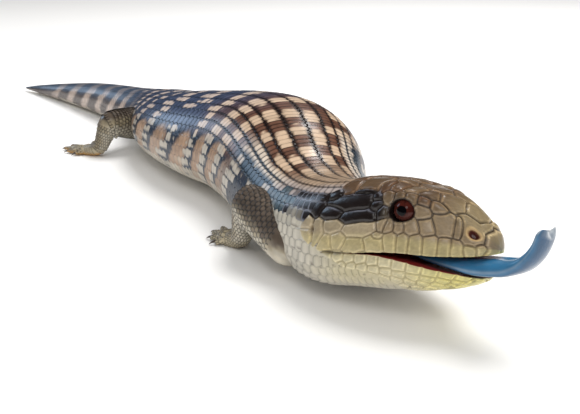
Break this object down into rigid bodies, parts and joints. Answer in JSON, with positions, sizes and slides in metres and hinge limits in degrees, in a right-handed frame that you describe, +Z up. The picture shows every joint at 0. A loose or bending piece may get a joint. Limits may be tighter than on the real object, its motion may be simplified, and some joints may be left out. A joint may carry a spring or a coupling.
{
  "type": "blue tongued skink",
  "caption": "Life-size blue-tongued skink lying on its belly, head raised, mouth ajar and blue tongue out.",
  "frame": {"origin": "on the floor under the middle of the model's box", "axes": "+X along the body toward the head, +Y toward the animal's left, +Z up"},
  "size_m": [0.4596, 0.1098, 0.0454],
  "materials": {
    "head_skin": "smooth horny head shields with a soft gloss",
    "jaw_skin": "cream scales, satin",
    "body_skin": "overlapping smooth scales, satin gloss",
    "tail_skin": "overlapping smooth scales, satin gloss",
    "limb_skin": "small dark scales, satin",
    "foot_skin": "small pale scales, matt",
    "tongue": "moist, glossy",
    "eye": "wet, clear gloss"
  },
  "bodies": {
    "root": {"head": "head_skin", "lower_jaw": "jaw_skin", "tongue": "tongue", "eye_right": "eye", "eye_left": "eye", "neck": "body_skin", "trunk_front": "body_skin", "trunk_mid": "body_skin", "trunk_rear": "body_skin", "tail_base": "tail_skin", "tail_mid": "tail_skin", "tail_tip": "tail_skin", "front_right_upper_arm": "limb_skin", "front_right_forearm": "limb_skin", "front_right_foot": "foot_skin", "front_left_upper_arm": "limb_skin", "front_left_forearm": "limb_skin", "front_left_foot": "foot_skin", "hind_right_thigh": "limb_skin", "hind_right_shank": "limb_skin", "hind_right_foot": "foot_skin", "hind_left_thigh": "limb_skin", "hind_left_shank": "limb_skin", "hind_left_foot": "foot_skin"}
  },
  "joints": []
}
